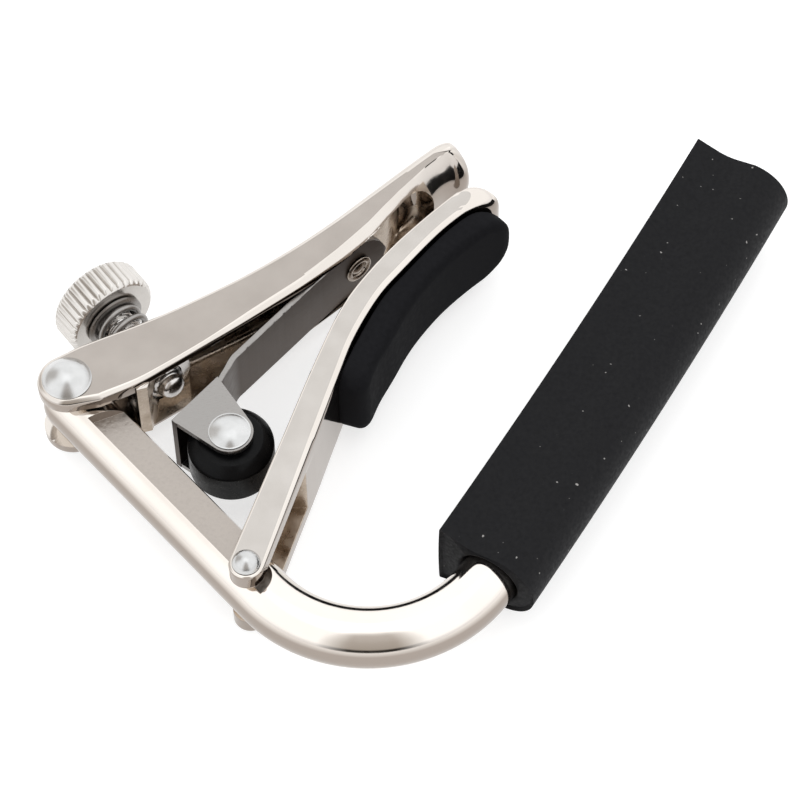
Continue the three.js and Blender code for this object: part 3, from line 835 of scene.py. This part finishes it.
def ribbed(name, rings):
    """A skin over rings that mirror across Z, closed by ribs between mirrored points."""
    n = len(rings[0])
    last = (len(rings) - 1) * n
    faces = []
    for k in range(len(rings) - 1):
        for i in range(n):
            j = (i + 1) % n
            faces.append((k * n + i, k * n + j, (k + 1) * n + j, (k + 1) * n + i))
    for i in range(n // 2):
        rib = [i, i + 1, (n - i - 1) % n, (n - i) % n]
        rib = [v for k, v in enumerate(rib) if v not in rib[:k]]
        faces.append(tuple(reversed(rib)))
        faces.append(tuple(last + v for v in rib))
    return link(name, np.concatenate(rings), faces)


def build_arm():
    foot = arc(PIVOT_B, ARM_FOOT_RADIUS, ARM_HEADING - 90, ARM_HEADING - 270, 24)
    back = spline(ARM_BACK, 60)
    face = spline(ARM_FACE, 60)
    back_length = curve_length(back)
    face_length = curve_length(face)

    def shape(z):
        short = round_end(z, ARM_HALF, ARM_CORNER)
        b = portion(back, 0, back_length - short, 60)
        f = portion(face, short, face_length, 60)
        outward = f[0] - f[1]
        outward = outward / np.linalg.norm(outward)
        turns = np.linspace(0, math.pi, 16)[1:-1, None]
        bulge = b[-1] + (f[0] - b[-1]) * (0.5 - 0.5 * np.cos(turns)) + outward * ARM_BULGE * np.sin(turns)
        return np.vstack([foot, b, bulge, f])

    back_inset, face_inset = np.full(60, 0.22), np.full(60, 0.62)
    inset = np.concatenate([np.full(len(foot), 0.3), back_inset, np.linspace(0.3, 0.75, 14), face_inset])
    arm = stacked("arm", shape, heights_across(ARM_HALF), ARM_HALF, inset, inset * 0.9)
    up = polar(ARM_HEADING)
    side = np.array([up[1], -up[0]])
    fork = np.array([PIVOT_B + up * s + side * v for s, v in ARM_FORK])

    def in_fork(c, n):
        return abs(c[2]) < PIVOT_GAP + 0.05 and inside((c[0] + 0.1 * n.x, c[1] + 0.1 * n.y), fork)

    cut(arm, slab("fork", fork, -PIVOT_GAP, PIVOT_GAP))
    soften(arm, 0.1, 40, 2)
    finish_piece(arm, ARM_NICKEL, "arm", ["clamp_arm"])
    paint(arm, CHANNEL, in_fork)
    # the arm's flat faces get the darker painted-shade plating
    paint(arm, ARM_FLAT, lambda c, n: abs(n.z) > 0.995 and abs(c[2]) > ARM_HALF - 0.1)
    return arm


def pad_outline(span, half, eased):
    """Half of the pad's outline as (run, z) points, eased inwards, from the toe's middle to the nose's."""
    points = []
    quarter_turn = np.linspace(0, math.pi / 2, 10)
    for at_toe, radius in ((True, PAD_TOE_RADIUS), (False, PAD_NOSE_RADIUS)):
        r = max(radius - eased, 0.4)
        quarter = [(eased + r * (1 - math.sin(t)), half - r + r * math.cos(t)) for t in quarter_turn]
        if at_toe:
            points += [(eased, v) for v in np.linspace(0, half - r, 5)[:-1]]
            points += quarter[::-1]
        else:
            points += [(span * t, half) for t in np.linspace(0.12, 0.83, 40)]
            points += [(span - u, v) for u, v in quarter]
            points += [(span - eased, v) for v in np.linspace(half - r, 0, 5)[1:]]
    return points


def build_pad():
    """A cushion between its seat on the arm and its hollow contact face, with rounded corners and rim."""
    seat = spline(PAD_TOP, 90)
    contact = spline(PAD_CONTACT, 90)
    seat_length = curve_length(seat)
    span = curve_length(contact)
    rings = []
    for height, eased in PAD_PROFILE:
        upper = pad_outline(span, PAD_HALF - eased, eased)
        points = []
        for u, v in upper + [(u, -v) for u, v in upper[::-1][1:-1]]:
            low = portion(seat, u / span * seat_length, u / span * seat_length, 1)[0]
            high = portion(contact, u, u, 1)[0]
            points.append((*(low * (1 - height) + high * height), v))
        rings.append(np.array(points))
    pad = ribbed("pad", rings)
    finish_piece(pad, PAD_RUBBER, "arm", ["neck_pad"], 60)
    return pad


# ---------------------------------------------------------------- lever

LEVER_BACK = [
    (-33.4, 4.4), (-31.4, 5.3), (-25.7, 7.8), (-19.7, 11.0), (-15.5, 13.5), (-11.2, 16.5), (-7.0, 19.9),
    (-2.7, 23.8), (1.7, 27.9), (3.9, 29.9),
]
LEVER_TIP = [
    (3.9, 29.9), (4.7, 30.55), (5.6, 30.95), (6.5, 30.9), (7.4, 30.35), (8.0, 29.4), (8.15, 28.4),
    (7.9, 27.6), (7.2, 27.0), (6.3, 26.6),
]
LEVER_EDGE = [
    (5.3, 25.9), (3.7, 23.9), (1.9, 21.8), (-1.9, 18.3), (-5.8, 14.9), (-9.6, 11.8), (-13.4, 9.0),
    (-17.1, 6.3), (-21.1, 3.5), (-23.9, 1.6), (-27.0, -0.4), (-31.0, -2.3),
]
LEVER_FLOOR = [
    (-28.6, 5.2), (-25.1, 6.7), (-19.1, 9.9), (-14.8, 12.5), (-10.5, 15.5), (-6.2, 19.0), (-1.9, 22.9),
    (2.2, 26.6),
]
LEVER_OPENING = [(8.5, 20), (-2, 8), (-18, -6), (-26.6, -8), (-27.3, -0.9), (-28.4, 5.0)]
LEVER_MOUTH = [(-34.5, 3.6), (-31.2, 4.0), (-28.7, 5.1), (-28.3, 4.6), (-27.3, -0.9), (-27.2, -8), (-38, -8)]
# solid parts left standing in the channel: the seat of the leaf's eyelet and the threaded block of the screw
LEVER_LAND = [
    (-9.6, 16.6), (-8.3, 14.75), (-6.6, 16.2), (-4.8, 17.6), (-1.35, 20.55), (0.3, 25.2), (-2.0, 24.0),
]
LEVER_BLOCK = [(-28.6, 5.4), (-27.3, -0.8), (-26.2, -0.5), (-25.4, 2.3), (-22.3, 5.0), (-22.4, 8.4)]
TIP_CENTRE = (5.6, 28.6)
# the tip's rim by direction from its centre: (degrees, inset, drop, crispness)
TIP_RIM = [
    (-60, 2.4, 4.2, 1.0), (0, 2.4, 4.2, 0.9), (42, 2.15, 3.6, 0.6), (80, 1.75, 2.4, 0.2), (140, 1.5, 1.8, 0.0),
]
# the rim of the lower edge by place: (x, inset, drop)
EDGE_RIM = [
    (-30, 0.75, 0.9), (-24, 0.6, 0.9), (-20, 0.6, 0.9), (-15, 0.9, 0.9), (-9.5, 1.0, 0.9), (-5.7, 1.2, 1.1),
    (-1.9, 1.6, 1.8), (0, 2.0, 2.6), (2, 2.3, 3.2), (5, 2.2, 3.6), (7, 2.2, 3.7),
]


def lever_body():
    """The solid lever: slim rims along its back, and a spooned tip whose faces slope away to the edge."""
    nose = arc(PIVOT_A, LEVER_NOSE_RADIUS, -75, -242, 30)
    back = spline(LEVER_BACK, 70)
    tip = spline(LEVER_TIP, 46)[1:-1]
    edge = spline([LEVER_TIP[-1], *LEVER_EDGE], 110)
    outline = np.vstack([nose, back, tip, edge])
    at_back = np.linspace(0, 1, len(back)) ** 3
    turn = np.degrees(np.arctan2(tip[:, 1] - TIP_CENTRE[1], tip[:, 0] - TIP_CENTRE[0]))
    turns, tip_inset, tip_drop, tip_crisp = np.array(TIP_RIM).T
    places, edge_inset, edge_drop = np.array(EDGE_RIM).T
    x = edge[:, 0]
    inset = np.concatenate([
        np.linspace(0.75, 0.5, len(nose)), 0.5 + 1.0 * at_back,
        np.interp(turn, turns, tip_inset), np.interp(x, places, edge_inset),
    ])
    drop = np.concatenate([
        np.linspace(0.9, 0.5, len(nose)), 0.5 + 1.3 * at_back,
        np.interp(turn, turns, tip_drop), np.interp(x, places, edge_drop),
    ])
    crisp = np.concatenate([
        np.zeros(len(nose) + len(back)),
        np.interp(turn, turns, tip_crisp), np.interp(x, [-10, -4, 2], [0.0, 0.75, 1.0]),
    ])
    lever = rounded_slab("lever_body", outline, -LEVER_HALF, LEVER_HALF, inset, drop, crisp, 12)
    smoothed(lever, TIP_CENTRE, 2.0, 6.0, 6)
    return lever


def build_lever():
    lever = lever_body()
    half = LEVER_HALF - LEVER_WALL
    floor = spline(LEVER_FLOOR, 50)
    floor_length = curve_length(floor)

    def hollow(z):
        q = portion(floor, 0, floor_length - CHANNEL_END - round_end(z, half, 2.6), 60)
        ahead = q[-1] - q[-2]
        ahead = ahead / np.linalg.norm(ahead)
        down = np.array([ahead[1], -ahead[0]])
        turn = q[-1] + ahead * CHANNEL_END
        bend = corner(q[-1], turn, turn + down * 1.4)[1:]
        return np.vstack([q, bend, [q[-1] + ahead * 1.4 + down * 9], LEVER_OPENING])

    inset = np.concatenate([np.full(60, 0.7), np.full(8, 0.5), np.zeros(7)])
    wide = stacked("channel", hollow, heights_across(half, 9), half, inset, np.maximum(inset, 0.3))
    cut(lever, wide, slab("mouth", LEVER_MOUTH, -PIVOT_GAP, PIVOT_GAP))
    cut(lever, cylinder("swing", LEVER_NOSE_RADIUS + SWING_ROOM, -PIVOT_GAP, PIVOT_GAP, 72, placed(PIVOT_A)))
    for name, outline in (("land", LEVER_LAND), ("block", LEVER_BLOCK)):
        cut(lever, slab(name, outline, -half - 0.1, half + 0.1), operation="UNION")
    cut(lever, cylinder("seat", SPRING_RADIUS + 0.9, -WEB_DISTANCE, -2, 64, SCREW_FRAME))
    cut(lever, cylinder("hole", BUSHING_RADIUS + 0.05, -14, -2, 64, SCREW_FRAME))
    soften(lever, 0.12, 42, 2)
    channel = hollow(0.0)

    def in_channel(c, n):
        within = abs(c[2]) < half - 0.02 or (abs(c[2]) < half + 0.02 and abs(n.z) > 0.95)
        return within and inside(c, channel)

    finish_piece(lever, LEVER_NICKEL, "lever", ["lever"], 38)
    # the lever's flat faces get the darker painted-shade plating
    paint(lever, LEVER_FLAT, lambda c, n: abs(n.z) > 0.995 and abs(c[2]) > LEVER_HALF - 0.1)
    paint(lever, CHANNEL, in_channel)
    return lever


# ---------------------------------------------------------------- rivets and pins

PIN_CLEARANCE = 0.05
# (piece, node, body, centre, shaft radius, head radius, half thickness of the plates, dome height)
PINS = [
    ("pin_lever", "lever_pivot_rivet", "frame", PIVOT_A, 1.6, 2.6, LEVER_HALF, 1.45),
    ("pin_arm", "arm_pivot_rivet", "frame", PIVOT_B, 1.0, 1.45, ARM_HALF, 1.2),
    ("pin_roller", "roller_axle", "bracket", ROLLER_CENTRE, 1.15, 2.2, CLEVIS_HALF, 0.75),
]


def dome(shaft, head, seat, height):
    """The upper half of a domed pin as [radius, height] pairs, from the shaft outwards to the top."""
    sphere = (head * head + height * height) / (2 * height)
    span = math.asin(min(1.0, head / sphere)) if height <= head else math.pi - math.asin(head / sphere)
    points = [(shaft, seat), (head - 0.05, seat), (head, seat + 0.05)]
    for a in span * np.linspace(0.96, 0, 16):
        points.append((sphere * math.sin(a), seat + height - sphere * (1 - math.cos(a))))
    return points


def domed_pin(name, node, body, centre, shaft, head, half, height):
    """A pin with a dome at each end, just clear of the plates that it holds."""
    upper = dome(shaft, head, half + PIN_CLEARANCE, height)
    lower = [(r, -z) for r, z in reversed(upper)]
    pin = turned(name, lower + upper, 64, placed(centre))
    return finish_piece(pin, RIVET, body, [node], 50)


def build_leaf_rivet():
    normal = polar(LEAF_RIVET_HEADING - 90)
    rim = [(1.32 + 0.36 * math.cos(a), -0.12 + 0.22 * math.sin(a)) for a in np.linspace(-0.6, math.pi, 14)]
    shank = [(0, -2.6), (0.9, -2.6), (0.9, -0.26)]
    button = [(0.9, -0.22), (0.72, -0.1), (0.5, 0.0), (0.26, 0.05), (0, 0.06)]
    eyelet = turned("eyelet", shank + rim + button, 48, at_axis(LEAF_RIVET, normal))
    return finish_piece(eyelet, EYELET, "lever", ["leaf_rivet"], 50)


# ---------------------------------------------------------------- roller bracket and roller

LEAF_FACE = [
    (-18.35, 0.2), (-17.75, 1.6), (-17.3, 2.65), (-16.95, 3.25), (-16.4, 3.85), (-11.2, 9.6), (-8.3, 12.8),
    (-4.3, 16.95), (-1.2, 19.55),
]
PLATE_LOW = (-23.1, -5.1)
PLATE_CORNERS = [(-23.6, -4.65), (-18.9, 0.6)]


def build_bracket():
    t = LEAF_THICKNESS
    bend = spline(LEAF_FACE, 70)
    plate = np.linspace(PLATE_LOW, LEAF_FACE[0], 8, endpoint=False)
    line = np.vstack([plate, bend])
    back_dir = normals_left(line, False)
    heading = polar(LEAF_RIVET_HEADING)
    run = (line - LEAF_RIVET) @ heading
    quarter_turn = np.linspace(0, math.pi / 2, 5)
    rings = []
    for point, out, s in zip(line, back_dir, run):
        if s > 0:
            half = math.sqrt(max(0.05, LEAF_HALF**2 - s * s))
        else:
            half = float(np.interp(s, [-22.3, -20.0], [CLEVIS_HALF, LEAF_HALF]))
        r = float(np.interp(s, [-22.6, -21.0], [0.3, 0.1]))
        lower = [(t - r + r * math.sin(a), -half + r - r * math.cos(a)) for a in quarter_turn]
        upper = [(u, -z) for u, z in reversed(lower)]
        ring = [(0.0, half - 0.08), (0.0, -half + 0.08), (0.08, -half)] + lower + upper + [(0.08, half)]
        rings.append(np.array([[*(point + out * u), z] for u, z in ring]))
    bracket = loft("bracket", rings)
    tangent = arc(ROLLER_CENTRE, EAR_RADIUS, 32, -128, 28)
    ear = np.vstack([PLATE_CORNERS, tangent])
    for name, low in (("ear_top", CLEVIS_HALF - t), ("ear_under", -CLEVIS_HALF)):
        cut(bracket, slab(name, ear, low, low + t), operation="UNION")
    soften(bracket, 0.09, 45, 2)
    finish_piece(bracket, STAINLESS, "bracket", ["roller_bracket"], 35)
    paint(bracket, LEAF, lambda c, n: abs(n.z) < 0.3 and abs(c[2]) < LEAF_HALF - 0.1)
    return bracket


def build_roller():
    """A wheel with a straight tread, chamfered shoulders and a bore for its tube."""
    upper = [(1.75, 3.0), (3.3, 3.0), (3.45, 2.94), (4.38, 2.02), (4.49, 1.86), (ROLLER_RADIUS, 1.7)]
    lower = [(r, -z) for r, z in upper]
    profile = lower + [(ROLLER_RADIUS, 0)] + upper[::-1] + lower[:1]
    roller = turned("wheel", profile, 96, placed(ROLLER_CENTRE))
    return finish_piece(roller, NYLON, "roller", ["roller"], 30)


def build_roller_bushing():
    lower = [(1.23, -3.5), (1.58, -3.5), (1.65, -3.43)]
    upper = [(r, -z) for r, z in lower[::-1]]
    tube = turned("roller_tube", lower + upper + lower[:1], 48, placed(ROLLER_CENTRE))
    return finish_piece(tube, RIVET, "bracket", ["roller_bushing"], 40)


# ---------------------------------------------------------------- adjusting screw

def build_knob():
    """A knurled head: ridges round its rim, cut back by the chamfers at both faces."""
    sides = KNOB_RIDGES * 8
    limits = [
        (0.0, 4.5), (0.0, 4.72), (0.1, 4.88), (0.45, 5.14), (0.6, KNOB_RADIUS),
        (KNOB_LENGTH - 0.6, KNOB_RADIUS), (KNOB_LENGTH - 0.45, 5.14), (KNOB_LENGTH - 0.12, 4.86),
        (KNOB_LENGTH - 0.02, 4.7), (KNOB_LENGTH - 0.02, 4.4),
    ]
    around = np.arange(sides) * 2 * math.pi / sides
    wave = KNOB_RADIUS - KNURL_DEPTH * (1 - np.abs(np.sin(around * KNOB_RIDGES / 2)) ** 0.7)
    rings = [ring_on_z(r, z, sides) for r, z in ((1.9, 3.2), (1.9, 0.0), (3.0, 0.0))]
    rings += [ring_on_z(np.minimum(limit, wave), z, sides) for z, limit in limits]
    rings += [ring_on_z(r, KNOB_LENGTH - sunk, sides) for r, sunk in ((3.6, 0.06), (2.4, 0.1), (1.2, 0.12))]
    knob = loft("knob", rings)
    knob.data.transform(SCREW_FRAME)
    return finish_piece(knob, KNURLED, "thumbscrew", ["thumbscrew_knob"], 32)


def build_screw():
    """Threaded shaft with a turned lead-in and a domed tip."""
    sides = 48
    tip = -SCREW_REACH
    rings = []
    for a in np.radians(np.linspace(4, 90, 12)):
        z = tip + SCREW_TIP_HEIGHT * (1 - math.cos(a))
        rings.append(ring_on_z(SCREW_TIP_RADIUS * math.sin(a), z, sides))
    around = np.arange(sides) * 2 * math.pi / sides
    thread_start = tip + SCREW_TIP_HEIGHT + 0.1
    for z in np.arange(thread_start, 2.9, 0.07):
        fade = min(1.0, max(0.0, (z - thread_start) / 0.5))
        phase = (z / SCREW_PITCH + around / (2 * math.pi)) % 1.0
        tooth = np.clip((0.92 - np.abs(2 * phase - 1)) / 0.72, 0, 1)
        rings.append(ring_on_z(SCREW_RADIUS - THREAD_DEPTH * (1 - tooth * fade), z, sides))
    shaft = loft("screw_shaft", rings)
    shaft.data.transform(SCREW_FRAME)
    return finish_piece(shaft, SCREW, "thumbscrew", ["thumbscrew_shaft"], 40)


def build_spring():
    """A coil with closed ends between the washer and the lever."""
    low = -WEB_DISTANCE + 0.12 + SPRING_WIRE / 2
    high = -WASHER_THICKNESS - 0.22 - SPRING_WIRE / 2
    turns, dead = 3.6, 0.75
    steps = 220
    points = []
    for k in range(steps + 1):
        turn = turns * k / steps
        rise = np.clip((turn - dead) / (turns - 2 * dead), 0, 1)
        lead = 0.12 * (min(turn, dead) / dead) + 0.12 * (max(0.0, turn - turns + dead) / dead)
        z = low - 0.12 + (high - low) * rise + lead
        a = 2 * math.pi * turn
        points.append((SPRING_RADIUS * math.cos(a), SPRING_RADIUS * math.sin(a), z))
    p = np.array(points)
    d = np.gradient(p, axis=0)
    d /= np.linalg.norm(d, axis=1)[:, None]
    rings = []
    for q, tangent in zip(p, d):
        out = np.array([q[0], q[1], 0]) / SPRING_RADIUS
        other = np.cross(tangent, out)
        rings.append(np.array([q + u * out + v * other for u, v in round_section(SPRING_WIRE / 2, 12)]))
    spring = loft("coil", rings)
    spring.data.transform(SCREW_FRAME)
    finish_piece(spring, STAINLESS, "lever", ["screw_spring"], 50)
    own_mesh(spring)
    return spring


def build_washer():
    z = -WASHER_THICKNESS - 0.1
    profile = [(1.95, z), (3.2, z), (3.3, z + 0.08), (3.3, -0.18), (3.2, -0.1), (1.95, -0.1), (1.95, z)]
    washer = turned("washer", profile, 64, SCREW_FRAME)
    return finish_piece(washer, STAINLESS, "screw_carrier", ["spring_washer"], 40)


def build_bushing():
    """A threaded insert: a sleeve with a chamfered flange at its inner end."""
    seat = 0.7 - BUSHING_END
    outer = -WEB_DISTANCE - 0.1
    profile = [
        (1.95, -BUSHING_END), (2.7, -BUSHING_END), (3.1, 0.1 - BUSHING_END), (3.3, seat - 0.2), (3.3, seat),
        (BUSHING_RADIUS, seat), (BUSHING_RADIUS, outer), (1.95, outer), (1.95, -BUSHING_END),
    ]
    insert = turned("insert", profile, 64, SCREW_FRAME)
    return finish_piece(insert, SCREW, "lever", ["screw_bushing"], 35)


build_rod()
build_sleeve()
build_arm()
build_pad()
build_lever()
for pin in PINS:
    domed_pin(*pin)
build_leaf_rivet()
build_bracket()
build_roller()
build_roller_bushing()
build_knob()
build_screw()
build_spring()
build_washer()
build_bushing()


# ---------------------------------------------------------------- floor and light

PAPER_GLOW = 0.62
LIGHT_STRENGTH = 2.0
# colours by the height of a direction: 0 level, 1 straight up
WALL_COLOURS = [
    (0.0, (0.58, 0.58, 0.59)), (0.30, (0.70, 0.705, 0.71)), (0.90, (0.70, 0.705, 0.71)),
    (1.0, (0.90, 0.91, 0.92)),
]
GREY_WALL_COLOURS = [
    (0.0, (0.20, 0.19, 0.18)), (0.06, (0.012, 0.011, 0.010)), (0.155, (0.012, 0.011, 0.010)),
    (0.24, (0.23, 0.21, 0.19)), (0.60, (0.26, 0.24, 0.22)), (0.90, (0.32, 0.30, 0.285)),
    (0.95, (0.42, 0.41, 0.40)), (0.98, (0.70, 0.70, 0.70)), (1.0, (0.80, 0.80, 0.80)),
]
GREY_CORNER = (0.39, 0.375, 0.36)


def build_floor():
    """A pale sheet that glows a little, so that it stays even under the soft light."""
    reach = 3.0
    mesh = bpy.data.meshes.new("floor")
    z = cad_box[0].z - 0.00002
    corners = [(-reach, -reach, z), (reach, -reach, z), (reach, reach, z), (-reach, reach, z)]
    mesh.from_pydata(corners, [], [(0, 1, 2, 3)])
    floor = bpy.data.objects.new("floor", mesh)
    bpy.context.scene.collection.objects.link(floor)
    material, nodes, links, shader = principled("paper", (0.55, 0.55, 0.55), 0.0, 0.9)
    shader.inputs["Specular IOR Level"].default_value = 0.0
    shader.inputs["Emission Color"].default_value = (1, 1, 1, 1)
    shader.inputs["Emission Strength"].default_value = PAPER_GLOW
    mesh.materials.append(material)


def build_world():
    """A soft studio: even bright walls, one grey wall and corner, and a dark gap low on one side."""
    world = bpy.data.worlds.new("studio")
    bpy.context.scene.world = world
    world.use_nodes = True
    nodes, links = world.node_tree.nodes, world.node_tree.links
    background = nodes["Background"]
    coords = nodes.new("ShaderNodeTexCoord")
    split = nodes.new("ShaderNodeSeparateXYZ")
    links.new(coords.outputs["Generated"], split.inputs["Vector"])
    x, y, z = split.outputs

    def calculate(operation, *values):
        return math_node(nodes, links, operation, *values)

    walls = colour_ramp(nodes, links, z, WALL_COLOURS)
    grey_wall = colour_ramp(nodes, links, z, GREY_WALL_COLOURS)
    level = calculate("SQRT", calculate("ADD", calculate("MULTIPLY", x, x), calculate("MULTIPLY", y, y)))
    level = calculate("MAXIMUM", level, 0.001)
    north = calculate("DIVIDE", y, level)
    east = calculate("DIVIDE", x, level)
    room = blended(nodes, links, ramp(nodes, links, north, 1.0, 0.0, -0.97, -0.86), walls, grey_wall)
    west = ramp(nodes, links, east, 1.0, 0.0, -0.75, -0.5)
    northerly = ramp(nodes, links, north, 0.0, 1.0, -0.1, 0.3)
    below = ramp(nodes, links, z, 1.0, 0.0, 0.7, 0.85)
    corner_share = calculate("MULTIPLY", calculate("MULTIPLY", west, northerly), below)
    links.new(blended(nodes, links, corner_share, room, GREY_CORNER), background.inputs["Color"])
    background.inputs["Strength"].default_value = LIGHT_STRENGTH


build_floor()
build_world()
bpy.context.scene.view_settings.view_transform = "Standard"

bpy.context.view_layer.update()
